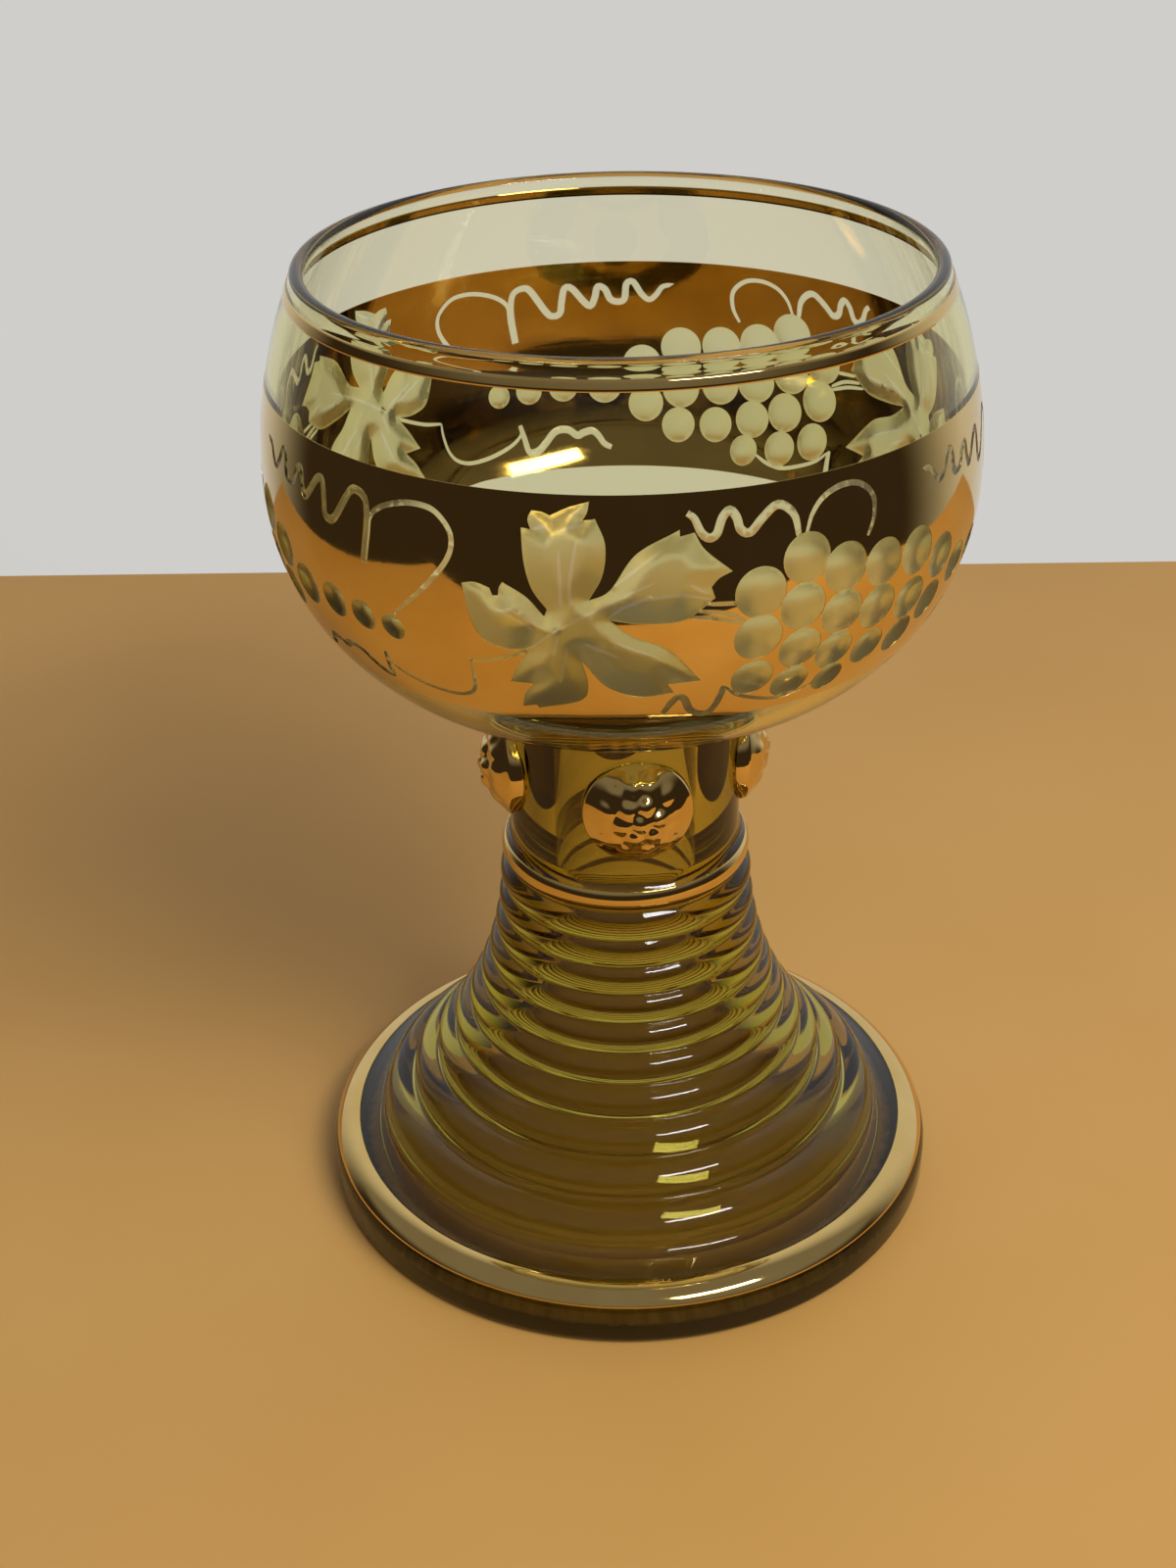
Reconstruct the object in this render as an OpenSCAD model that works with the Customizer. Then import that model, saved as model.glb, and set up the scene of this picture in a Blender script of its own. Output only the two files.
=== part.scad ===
// Roemer wine glass: a round blown bowl with a gilded vine band, on a hollow shank set
// with gilded raspberry prunts, on a wide hollow foot of stacked rings.
// Millimetres, Z up, origin at the centre of the base, front towards -Y.

/* [Foot] */
// Radius of the foot at its rim
foot_r = 40.6; // [38:0.1:46]
// Height of the foot from the table to the shank, collar included
foot_h = 51; // [44:0.5:60]
// Height of the rim's top above the table
rim_h = 7.3; // [6.5:0.1:8.2]
// Radius of the rounded shoulder at the rim's top
shoulder_r = 3.7; // [2.5:0.1:4.8]
// Radius of the rounded edge at the rim's bottom
base_edge_r = 1.2; // [0.6:0.1:2]
// Radius at which the stack of rings ends on the foot's plate
plate_r = 33; // [30:0.1:35]
// Height at which the stack of rings ends on the foot's plate
plate_h = 9; // [8.4:0.1:11]
// Number of rings between plate and collar
ring_count = 10; // [6:1:14]
// Share of the ring spacing that is even, the rest widens the lowest rings
ring_even = 0.86; // [0.7:0.01:1]
// How far a ring bulges out, as a share of its own width
ring_bulge = 0.22; // [0.14:0.01:0.3]
// Radius of the round section of the collar on top of the rings
collar_bead_r = 2; // [1.5:0.1:2.6]
// How far the collar stands out from the shank
collar_proud = 1.3; // [0.8:0.1:1.8]
// Radius of the hollow's mouth in the base
mouth_r = 32; // [28:0.1:35]
// Height of the straight wall at the hollow's mouth
mouth_h = 5.5; // [3:0.1:6]

/* [Shank] */
// Outside radius of the shank
shank_r = 14.5; // [12.5:0.1:17]
// Height of the shank between foot and bowl
shank_h = 21.7; // [18:0.1:30]
// Thickness of the shank's wall
shank_wall = 5.5; // [4.5:0.1:6.4]
// How far the valleys between the top rings stand out from the shank
neck_step = 0.7; // [0.3:0.1:1.2]
// Radius of the hollow curve in which the shank flares into the collar
flare_r = 2.5; // [1.8:0.1:4]

/* [Prunts] */
// Radius of a prunt's round edge
prunt_r = 6.6; // [5:0.1:7.2]
// How far the dome of a prunt stands out from the shank
prunt_h = 3.3; // [2.4:0.1:4.2]
// Thickness of a prunt at its edge
prunt_edge = 0.5; // [0.3:0.1:0.8]
// Height of the prunts' centres above the foot
prunt_rise = 10.3; // [9:0.1:11]
// Turn of the front prunt round the shank, in degrees
prunt_turn = 6; // [-20:1:20]
// Radius of one berry on a prunt
berry_r = 1; // [0.8:0.05:1.05]
// How far a berry is sunk in the dome
berry_sink = 0.65; // [0.4:0.05:0.75]
// Distance of the inner ring of berries from the prunt's middle
berry_ring = 2.3; // [2.2:0.05:2.4]
// Distance between the inner and the outer ring of berries
berry_ring_step = 2.2; // [2.15:0.05:2.4]

/* [Bowl] */
// Outside radius of the bowl where it is widest
bowl_r = 41.6; // [38:0.1:46]
// Radius of the bowl's curve below the widest height
lower_curve_r = 28.3; // [27.2:0.1:32]
// Radius of the bowl's curve above the widest height
upper_curve_r = 57; // [46:0.1:75]
// Height of the lip above the widest height
mouth_rise = 24; // [20:0.5:28]
// Thickness of the bowl's wall
bowl_wall = 1.5; // [1:0.1:2.2]
// Thickness of the bowl's floor above the shank
bowl_floor = 4; // [3:0.1:6]
// Radius of the rounded lip
lip_r = 0.85; // [0.75:0.05:1.1]

/* [Gilding] */
// Thickness that the gold has in this model
gilt_t = 0.15; // [0.1:0.01:0.25]
// Distance from the top of the lip down to the vine band
band_drop = 12.5; // [9:0.1:15]
// Height of the vine band
band_h = 27.3; // [26.5:0.1:29]
// Distance from the top of the lip down to the thin line
line_drop = 1.8; // [1.8:0.1:5]
// Height of the thin line
line_h = 1.2; // [0.6:0.1:2]
// Angle at which the foot's gold begins on the rim's shoulder, in degrees
foot_gilt_from = 31; // [10:1:40]
// Angle below the collar's middle at which its gold begins
collar_gilt_below = 55; // [30:1:58]
// Angle above the collar's middle at which its gold ends
collar_gilt_above = 42; // [20:1:44]

/* [Vine] */
// Number of times that the vine repeats round the bowl
vine_repeats = 3; // [2:1:3]
// Turn of the front leaf's middle round the bowl, in degrees
vine_turn = -8; // [-30:1:30]
// Height of the leaf's middle above the band's lower edge
leaf_rise = 12.4; // [12:0.1:13]
// Radius of a grape
grape_r = 2.3; // [1.8:0.05:2.3]
// Distance between neighbouring grapes
grape_pitch = 5.2; // [5:0.05:5.4]
// Distance from the leaf's middle to the first column of grapes
grape_start = 20.2; // [19.5:0.1:22]

/* [Hidden] */
$fn = 72;

GREEN_GLASS = "#7d7a1e";
PALE_GLASS = "#b9b56a";
GOLD = "#d9a441";

// Extra length that carries a cut clear of the surface it opens
over = 1;

// Foot: the rings lie along one arc that runs upright into the collar
neck_r = shank_r + neck_step;
bore_r = shank_r - shank_wall;
flank_top = foot_h - 2 * collar_bead_r;
flank_run = plate_r - neck_r;
flank_rise = flank_top - plate_h;
flank_r = arc_radius(flank_run, flank_rise);
flank_angle = asin(flank_rise / flank_r);
hollow_run = mouth_r - bore_r;
hollow_rise = flank_top - mouth_h;
hollow_r = arc_radius(hollow_run, hollow_rise);
shoulder = [foot_r - shoulder_r, rim_h - shoulder_r];
collar = [shank_r + collar_proud - collar_bead_r, foot_h - collar_bead_r];
// Centre of the flare's hollow curve, which touches the shank and the collar's round section
flare_run = shank_r + flare_r - collar[0];
flare = collar + [flare_run, sqrt(pow(flare_r + collar_bead_r, 2) - pow(flare_run, 2))];
// Radius of the flare where foot and shank meet, and the place in the collar from which it slopes up
flare_foot_r = flare[0] - sqrt(pow(flare_r, 2) - pow(flare[1] - foot_h, 2));
slope_start = collar + (flare - collar) * 0.97 * collar_bead_r / (flare_r + collar_bead_r);
// How strongly the lowest rings widen
ring_power = 4;
// Neighbouring rings run into each other a little above the arc that carries them
ring_overlap = 1.04;

// Prunts: a shallow dome cut round, set with rings of berries
prunt_z = foot_h + prunt_rise;
dome_rise = prunt_h - prunt_edge;
dome_r = (prunt_r * prunt_r + dome_rise * dome_rise) / (2 * dome_rise);
dome_x = shank_r + prunt_h - dome_r;
inner_berries = 6;
outer_berries = 12;
berry_turn = 11;

// Bowl: two arcs meet where it is widest, and its underside is cut flat for the shank
bowl_foot_r = bowl_r - lower_curve_r;
join_drop = sqrt(pow(lower_curve_r, 2) - pow(shank_r - bowl_foot_r, 2));
bowl_z = foot_h + shank_h;
widest_z = bowl_z + join_drop;
lip_z = widest_z + mouth_rise - lip_r;
lip_x = arc_x(upper_curve_r, lip_z - widest_z) - bowl_wall / 2;
hollow_lower_r = join_drop - bowl_floor;
hollow_upper_r = upper_curve_r - bowl_wall;
top_z = lip_z + lip_r;
band_z = top_z - band_drop - band_h;
line_z = top_z - line_drop - line_h;

// Vine: heights of the columns' top grapes above the leaf's middle, and grapes in each column
column_top = [3.5, 6.5, 4.3, 3.8, 2.8, 0.4, -2.5];
column_count = [3, 4, 4, 3, 3, 2, 1];
// Shrinking grapes that end the bunch: distance past the last column, and share of a grape's radius
tail_place = [6.6, 11.8, 16.2];
tail_share = [0.78, 0.66, 0.56];
tail_height = -2.6;
// Lobes of the leaf: direction in degrees, length and width
lobes = [[93, 13.6, 8.4], [22, 17, 8.6], [-24, 14.8, 7.6], [-115, 11.4, 8.8], [164, 11.2, 8.4]];
leaf_heart_r = 2.6;
// How far the cutters reach in from the bowl's outside, at a grape and at the wider leaf
grape_cut = 2.2;
leaf_cut = 6;

// Radius of the arc that starts upright and reaches run sideways over rise upwards
function arc_radius(run, rise) = (run * run + rise * rise) / (2 * run);

// Distance of a curve of the bowl from the axis, at a height above the widest place
function arc_x(curve_r, height) = bowl_r - curve_r + sqrt(curve_r * curve_r - height * height);

// Distance of the bowl's outside from the axis at a height above the table
function outside_r(z) = arc_x(z < widest_z ? lower_curve_r : upper_curve_r, z - widest_z);

// Angle down the flank at which ring number i ends
function ring_angle(i) =
  let (t = i / ring_count)
  flank_angle * (ring_even * t + (1 - ring_even) * pow(t, ring_power));

// Point of the flank's arc at an angle down from the collar
function flank_point(angle, radius) =
  [neck_r + flank_r - radius * cos(angle), flank_top - radius * sin(angle)];

// Outside of the foot in section, from the axis out
module foot_outline() {
  difference() {
    translate([0, plate_h]) square([plate_r, flank_rise]);
    translate([neck_r + flank_r, flank_top]) circle(flank_r);
  }
  translate([0, flank_top]) square([shank_r, foot_h - flank_top]);
  translate(collar) circle(collar_bead_r);
  polygon([collar, slope_start, [flare_foot_r, foot_h], [collar[0], foot_h]]);
  for (i = [0 : ring_count - 1]) ring_section(ring_angle(i), ring_angle(i + 1));
  polygon([
    [0, 0], [foot_r - base_edge_r, 0], [foot_r, base_edge_r], [foot_r, shoulder[1]],
    [shoulder[0], rim_h], [plate_r, plate_h], [0, plate_h]
  ]);
  translate([foot_r - base_edge_r, base_edge_r]) circle(base_edge_r);
  translate(shoulder) circle(shoulder_r);
}

// Round section of one ring between two angles down the flank
module ring_section(from, to) {
  width = flank_r * (to - from) * PI / 180;
  bulge = ring_bulge * width;
  bead_r = (width * width / 4 + bulge * bulge) / (2 * bulge);
  translate(flank_point((from + to) / 2, flank_r + bead_r - bulge)) circle(bead_r * ring_overlap);
}

// Hollow of the foot in section: a bell that ends in the straight mouth
module foot_hollow() {
  translate([0, -over]) square([mouth_r, mouth_h + over]);
  difference() {
    translate([0, mouth_h]) square([mouth_r, hollow_rise]);
    translate([bore_r + hollow_r, flank_top]) circle(hollow_r);
  }
  translate([0, flank_top]) square([bore_r, foot_h - flank_top + over]);
}

module foot() {
  color(GREEN_GLASS)
    rotate_extrude()
      difference() {
        foot_outline();
        foot_hollow();
      }
}

// Section of the flare at the foot of the shank, out to its hollow curve
module flare_section() {
  intersection() {
    difference() {
      polygon([collar, flare, [collar[0], flare[1]]]);
      translate(flare) circle(flare_r);
    }
    translate([0, foot_h]) square([foot_r, shank_h]);
  }
}

module shank() {
  color(GREEN_GLASS)
    rotate_extrude() {
      translate([bore_r, foot_h]) square([shank_wall, shank_h]);
      flare_section();
    }
}

// Area inside the bowl's outside, grown by a skin, between two heights
module bowl_area(skin, from_z, to_z) {
  intersection() {
    translate([0, from_z]) square([bowl_r + skin + over, to_z - from_z]);
    translate([0, widest_z]) {
      intersection() {
        translate([bowl_foot_r, 0]) circle(lower_curve_r + skin);
        translate([0, -lower_curve_r]) square([bowl_r + skin + over, lower_curve_r]);
      }
      translate([0, -join_drop]) square([bowl_foot_r, join_drop]);
      intersection() {
        translate([bowl_r - upper_curve_r, 0]) circle(upper_curve_r + skin);
        square([bowl_r + skin + over, mouth_rise]);
      }
    }
  }
}

// Area of the bowl's inside, open at the top
module bowl_hollow() {
  inside_r = bowl_r - bowl_wall;
  translate([0, widest_z]) {
    intersection() {
      translate([inside_r - hollow_lower_r, 0]) circle(hollow_lower_r);
      translate([0, -hollow_lower_r - over]) square([bowl_r, hollow_lower_r + over]);
    }
    translate([0, -hollow_lower_r]) square([inside_r - hollow_lower_r, hollow_lower_r]);
    intersection() {
      translate([inside_r - hollow_upper_r, 0]) circle(hollow_upper_r);
      square([bowl_r, mouth_rise + over]);
    }
  }
}

module bowl() {
  color(PALE_GLASS)
    rotate_extrude() {
      difference() {
        bowl_area(0, bowl_z, lip_z);
        bowl_hollow();
      }
      translate([lip_x, lip_z]) circle(lip_r);
    }
}

// Places a prunt's parts on the shank, with the way out along +X
module on_shank(side) {
  rotate([0, 0, prunt_turn - 90 + 90 * side]) translate([0, 0, prunt_z]) children();
}

// Round-topped plug that stands along +X: a ball cut to the plug's radius and to its depth below the top
module dome(ball_r, plug_r, depth) {
  rotate([0, 90, 0])
    rotate_extrude()
      intersection() {
        circle(ball_r);
        translate([0, ball_r - depth]) square([plug_r, depth + over]);
      }
}

// One ring of berries round the middle of a prunt
module berries(count, distance, skin) {
  lean = asin(distance / dome_r);
  for (i = [0 : count - 1])
    rotate([360 / count * i + berry_turn, 0, 0])
      rotate([0, lean, 0])
        translate([dome_r - berry_sink, 0, 0]) dome(berry_r + skin, 2 * berry_r, berry_r + skin);
}

// Dome with its berries, grown by a skin
module prunt_form(skin) {
  translate([dome_x, 0, 0]) {
    dome(dome_r + skin, prunt_r + skin, prunt_h + shank_wall);
    berries(1, 0, skin);
    berries(inner_berries, berry_ring, skin);
    berries(outer_berries, berry_ring + berry_ring_step, skin);
  }
}

// Shank's outside as a cutter, so that what sits on it follows its curve
module shank_cut() {
  translate([0, 0, -prunt_rise]) cylinder(h = shank_h, r = shank_r);
}

module prunt(side) {
  color(GREEN_GLASS)
    on_shank(side)
      difference() {
        prunt_form(0);
        shank_cut();
      }
}

module prunt_gilding(side) {
  color(GOLD)
    on_shank(side)
      difference() {
        prunt_form(gilt_t);
        prunt_form(0);
        shank_cut();
      }
}

// Ring-shaped skin in section over an arc, between two angles
module arc_skin(centre, radius, from, to) {
  reach = 2 * radius;
  translate(centre)
    intersection() {
      difference() {
        circle(radius + gilt_t);
        circle(radius);
      }
      polygon([
        [0, 0], reach * [cos(from), sin(from)],
        reach * [cos((from + to) / 2), sin((from + to) / 2)], reach * [cos(to), sin(to)]
      ]);
    }
}

module collar_gilding() {
  color(GOLD)
    rotate_extrude() arc_skin(collar, collar_bead_r, -collar_gilt_below, collar_gilt_above);
}

module foot_gilding() {
  color(GOLD)
    rotate_extrude() arc_skin(shoulder, shoulder_r, foot_gilt_from, 90);
}

// Skin on the bowl's outside between two heights
module bowl_skin(from_z, to_z) {
  rotate_extrude()
    difference() {
      bowl_area(gilt_t, from_z, to_z);
      bowl_area(0, from_z - over, to_z + over);
    }
}

module rim_gilding() {
  color(GOLD) bowl_skin(line_z, line_z + line_h);
}

module bowl_gilding() {
  color(GOLD)
    difference() {
      bowl_skin(band_z, band_z + band_h);
      for (i = [0 : vine_repeats - 1]) rotate([0, 0, vine_turn + 360 / vine_repeats * i]) vine();
    }
}

// Carries a flat drawing outwards through the gold, at a place round the bowl and above the leaf's middle
module through_gold(along = 0, up = 0, depth = grape_cut) {
  height = band_z + leaf_rise + up;
  start = outside_r(height) - depth;
  rotate([0, 0, along / bowl_r * 180 / PI])
    translate([0, 0, height])
      rotate([90, 0, 0])
        translate([0, 0, start]) linear_extrude(bowl_r + over - start) children();
}

// One toothed lobe of the leaf, pointing along +X
module lobe(length, width) {
  half = [[0, 0.16], [0.34, 0.4], [0.62, 0.5], [0.7, 0.34], [0.88, 0.3], [0.88, 0.14], [1, 0]];
  upper = [for (p = half) [p[0] * length, p[1] * width]];
  lower = [for (i = [len(half) - 2 : -1 : 0]) [upper[i][0], -upper[i][1]]];
  polygon(concat(upper, lower));
}

module leaf() {
  circle(leaf_heart_r);
  for (l = lobes) rotate(l[0]) lobe(l[1], l[2]);
}

// Bunch of grapes in columns, with its shrinking tail
module grapes() {
  for (column = [0 : len(column_count) - 1])
    for (i = [0 : column_count[column] - 1])
      through_gold(grape_start + grape_pitch * column, column_top[column] - grape_pitch * i)
        circle(grape_r);
  for (i = [0 : len(tail_place) - 1])
    through_gold(grape_start + grape_pitch * (len(column_count) - 1) + tail_place[i], tail_height)
      circle(grape_r * tail_share[i]);
}

// Leaf and bunch of grapes of one repeat
module vine() {
  through_gold(0, 0, leaf_cut) leaf();
  grapes();
}

foot();
shank();
bowl();
prunt(0);  // prunt_front
prunt(1);  // prunt_right
prunt(2);  // prunt_back
prunt(3);  // prunt_left
prunt_gilding(0);  // prunt_front_gilding
prunt_gilding(1);  // prunt_right_gilding
prunt_gilding(2);  // prunt_back_gilding
prunt_gilding(3);  // prunt_left_gilding
collar_gilding();
foot_gilding();
bowl_gilding();
rim_gilding();
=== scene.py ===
"""Looks of the roemer wine glass: a pale blown bowl, a green shank and ringed foot, and fired gold.

Sizes are in millimetres, and meshes are written in metres. Up is +Z and the front is -Y.
A place round the axis is an azimuth in degrees: 0 at the front, 90 on the right.
"""

import bpy
import numpy as np
from mathutils import Matrix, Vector
from mathutils.geometry import delaunay_2d_cdt


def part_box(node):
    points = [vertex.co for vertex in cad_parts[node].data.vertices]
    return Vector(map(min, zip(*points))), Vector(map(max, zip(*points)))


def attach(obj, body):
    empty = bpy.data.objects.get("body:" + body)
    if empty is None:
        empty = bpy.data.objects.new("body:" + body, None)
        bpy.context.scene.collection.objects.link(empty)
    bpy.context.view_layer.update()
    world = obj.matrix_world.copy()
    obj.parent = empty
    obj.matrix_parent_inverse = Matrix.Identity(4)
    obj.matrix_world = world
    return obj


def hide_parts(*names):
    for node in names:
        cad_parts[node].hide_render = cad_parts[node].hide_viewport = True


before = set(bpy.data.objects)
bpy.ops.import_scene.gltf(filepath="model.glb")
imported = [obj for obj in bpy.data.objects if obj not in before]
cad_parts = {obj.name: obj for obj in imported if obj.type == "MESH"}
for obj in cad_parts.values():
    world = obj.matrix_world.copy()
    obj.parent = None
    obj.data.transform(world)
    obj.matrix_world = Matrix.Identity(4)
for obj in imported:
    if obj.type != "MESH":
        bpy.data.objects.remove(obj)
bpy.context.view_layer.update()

MM = 0.001

# Sizes that the frame gives
FOOT_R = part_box("foot")[1].x / MM
FOOT_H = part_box("foot")[1].z / MM
BOWL_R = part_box("bowl")[1].x / MM
BOWL_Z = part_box("bowl")[0].z / MM
TOP_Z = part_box("bowl")[1].z / MM
BAND_LOW, BAND_HIGH = (corner.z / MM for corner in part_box("bowl_gilding"))
LINE_LOW, LINE_HIGH = (corner.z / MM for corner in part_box("rim_gilding"))

# Foot: rings along one arc that runs upright into the collar
RIM_H = 7.3
SHOULDER_R = 3.7
BASE_EDGE_R = 1.2
MOUTH_EDGE_R = 0.8
PLATE_R = 33.0
PLATE_H = 9.0
RING_COUNT = 10
RING_EVEN = 0.86
RING_POWER = 4
RING_BULGE = 0.22
LOW_RING_BULGE = 0.3
RING_OVERLAP = 1.04
VALLEY_ROUND = 0.15
COLLAR_BEAD_R = 2.0
COLLAR_PROUD = 1.3
COLLAR_FROM = -52.0
MOUTH_R = 32.0
MOUTH_H = 5.5

# Ground glass under the foot: how high it counts, and where the painted shade that darkens it towards the
# outer edge sets in and is full
BASE_FACE_H = 0.1
SHADE_STARTS = FOOT_R - 7
SHADE_FULL = FOOT_R - 5.8

# Shank and its prunts
SHANK_R = 14.5
SHANK_WALL = 5.5
NECK_STEP = 0.7
FLARE_R = 2.5
PRUNT_R = 6.6
PRUNT_H = 3.3
PRUNT_EDGE = 0.5
PRUNT_RISE = 10.3
PRUNT_TURN = 6.0
BERRY_R = 1.05
BERRY_TURN = 11.0
BERRY_VARIES = 0.3
BERRY_WAVES = 5
PRUNT_SINK = 0.25
BACK_RELIEF = 0.5

# Berries of a prunt: for each ring how many, how far out and how proud
BERRY_RINGS = ((1, 0.0, 0.65), (6, 2.3, 0.6), (12, 4.5, 0.28))

# Wall of a prunt: how far it swells, and which share of the way down to the shank it has gone
WALL_SWELL = (0.1, 0.14, 0.1, 0.0)
WALL_DROP = (0.12, 0.35, 0.7, 1.0)

# Bowl: two arcs that meet where it is widest
LOWER_CURVE_R = 28.3
UPPER_CURVE_R = 57.0
BOWL_WALL = 1.5
BOWL_FLOOR = 4.0
FLOOR_ROUND = 0.6
LIP_R = 0.85
LIP_FROM = 24.0
LIP_TO = 156.0

# Gold: how far it stands out of the glass, and how deep it bites into it
GOLD_PROUD = 0.06
GOLD_SUNK = 0.03
FOOT_GILT_FROM = 31.0
COLLAR_GILT_BELOW = 55.0
COLLAR_GILT_ABOVE = 42.0

# Fused pieces keep this much room between their faces
FUSE_GAP = 0.02

# Vine: the leaf's middle, and how often the drawing repeats round the bowl
VINE_REPEATS = 3
LEAF_TURN = -8.0
LEAF_Z = BAND_LOW + 12.4
PERIOD = 2 * np.pi * BOWL_R / VINE_REPEATS
SEAM_U = -11.3

# How finely the meshes are divided: round the axis, along a ring of the foot, and over the band and a prunt
FOOT_AZIMUTHS = np.linspace(0, 360, 288, endpoint=False)
RINGS_ROWS = 14
BAND_COLUMNS = 120
BAND_ROWS = 25
PRUNT_ROWS = 44
PRUNT_COLUMNS = 120
PRUNT_SPREAD = 1.2

# Points nearer than this count as one, in a mesh and where outlines cross
SAME_PLACE = 1e-4
SAME_CROSSING = 1e-5

# Keeps a division from zero
TINY = 1e-9

# Sizes that follow from the others
neck_r = SHANK_R + NECK_STEP
bore_r = SHANK_R - SHANK_WALL
flank_top = FOOT_H - 2 * COLLAR_BEAD_R
bowl_foot_r = BOWL_R - LOWER_CURVE_R
join_drop = np.sqrt(LOWER_CURVE_R**2 - (SHANK_R - bowl_foot_r) ** 2)
widest_z = BOWL_Z + join_drop
shoulder = np.array([FOOT_R - SHOULDER_R, RIM_H - SHOULDER_R])
collar = np.array([SHANK_R + COLLAR_PROUD - COLLAR_BEAD_R, FOOT_H - COLLAR_BEAD_R])
flare_run = SHANK_R + FLARE_R - collar[0]
flare_rise = np.sqrt((FLARE_R + COLLAR_BEAD_R) ** 2 - flare_run**2)


# Profiles and surfaces


def arc(centre, radius, start, end, count):
    """Points of an arc: centre plus radius times (cos a, sin a), with a in degrees from start to end."""
    a = np.radians(np.linspace(start, end, count))
    return np.stack([centre[0] + radius * np.cos(a), centre[1] + radius * np.sin(a)], 1)


def line(start, end, count):
    """Points spaced evenly from start to end."""
    return np.linspace(np.array(start, float), np.array(end, float), count)


def arc_radius(run, rise):
    """Radius of the arc that starts upright and reaches run sideways over rise upwards."""
    return (run**2 + rise**2) / (2 * run)


def outside_r(z):
    """Distance of the bowl's outside from the axis: two arcs, one above and one below the widest height."""
    curve = np.where(z < widest_z, LOWER_CURVE_R, UPPER_CURVE_R)
    return BOWL_R - curve + np.sqrt(curve**2 - (z - widest_z) ** 2)


def outside_normal(z):
    """Outward normal of the bowl in section, (along the radius, along the height)."""
    curve = np.where(z < widest_z, LOWER_CURVE_R, UPPER_CURVE_R)
    up = (z - widest_z) / curve
    return np.sqrt(1 - up**2), up


def around(radius, z, azimuth):
    """Points at a radius, height and azimuth: x is radius times sin, y is minus radius times cos."""
    a = np.radians(azimuth)
    return np.stack([radius * np.sin(a), -radius * np.cos(a), z + 0 * a], -1)


def on_bowl(u, z, lift):
    """Points on the bowl's outside, u millimetres round from the leaf's middle, raised along the normal."""
    out, up = outside_normal(z)
    return around(outside_r(z) + lift * out, z + lift * up, LEAF_TURN + np.degrees(u / BOWL_R))


def ring_outline():
    """Flank of the foot from plate to collar. Seen from the flank's centre, each ring is a circle, and the
    outline is the soft minimum of the distances d to all of them: -k log(sum(exp(-d / k))), where k is the
    roundness of a valley."""
    flank_r = arc_radius(PLATE_R - neck_r, flank_top - PLATE_H)
    flank_angle = np.arcsin((flank_top - PLATE_H) / flank_r)
    centre = np.array([neck_r + flank_r, flank_top])
    t = np.arange(RING_COUNT + 1) / RING_COUNT
    ends = flank_angle * (RING_EVEN * t + (1 - RING_EVEN) * t**RING_POWER)
    middle = (ends[1:] + ends[:-1]) / 2
    width = flank_r * np.diff(ends)
    bulge = (RING_BULGE + (LOW_RING_BULGE - RING_BULGE) * t[1:]) * width
    bead_r = (width**2 / 4 + bulge**2) / (2 * bulge)
    away = flank_r + bead_r - bulge
    steps = np.linspace(0, 1, RINGS_ROWS, endpoint=False)
    angle = np.concatenate([(ends[:-1, None] + np.diff(ends)[:, None] * steps).ravel(), ends[-1:]])
    turn = angle[:, None] - middle
    chord = (bead_r * RING_OVERLAP) ** 2 - (away * np.sin(turn)) ** 2
    near = np.where(chord > 0, away * np.cos(turn) - np.sqrt(np.maximum(chord, 0)), flank_r + width)
    nearest = near.min(1)
    reach = -VALLEY_ROUND * np.log(np.exp((nearest[:, None] - near) / VALLEY_ROUND).sum(1)) + nearest
    points = centre - reach[:, None] * np.stack([np.cos(angle), np.sin(angle)], 1)
    return points[::-1]


def foot_profile():
    """Section of foot and shank, which are fused: counter-clockwise over base, rolled rim, plate, rings,
    collar, flare and shank, then down the bore, the bell and the mouth."""
    hollow_r = arc_radius(MOUTH_R - bore_r, flank_top - MOUTH_H)
    hollow_angle = np.degrees(np.arcsin((flank_top - MOUTH_H) / hollow_r))
    rings = ring_outline()
    beside = np.linalg.norm(rings - collar, axis=1) > COLLAR_BEAD_R
    lean = np.degrees(np.arctan2(flare_rise, flare_run))
    top = BOWL_Z - FUSE_GAP
    return np.concatenate([
        arc((MOUTH_R + MOUTH_EDGE_R, MOUTH_EDGE_R), MOUTH_EDGE_R, 180, 270, 6),
        arc((FOOT_R - BASE_EDGE_R, BASE_EDGE_R), BASE_EDGE_R, -90, 0, 8),
        arc(shoulder, SHOULDER_R, 0, 90, 18),
        line(shoulder + (0, SHOULDER_R), (PLATE_R, PLATE_H), 5)[1:-1],
        rings[beside],
        arc(collar, COLLAR_BEAD_R, COLLAR_FROM, lean, 18),
        arc(collar + (flare_run, flare_rise), FLARE_R, 180 + lean, 180, 12)[1:],
        line((SHANK_R, collar[1] + flare_rise), (SHANK_R, top), 20)[1:],
        line((SHANK_R, top), (bore_r, top), 3)[1:],
        line((bore_r, top), (bore_r, flank_top), 24)[1:],
        arc((bore_r + hollow_r, flank_top), hollow_r, 180, 180 + hollow_angle, 30)[1:],
        line((MOUTH_R, MOUTH_H), (MOUTH_R, MOUTH_EDGE_R), 4)[1:-1],
    ])


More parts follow.
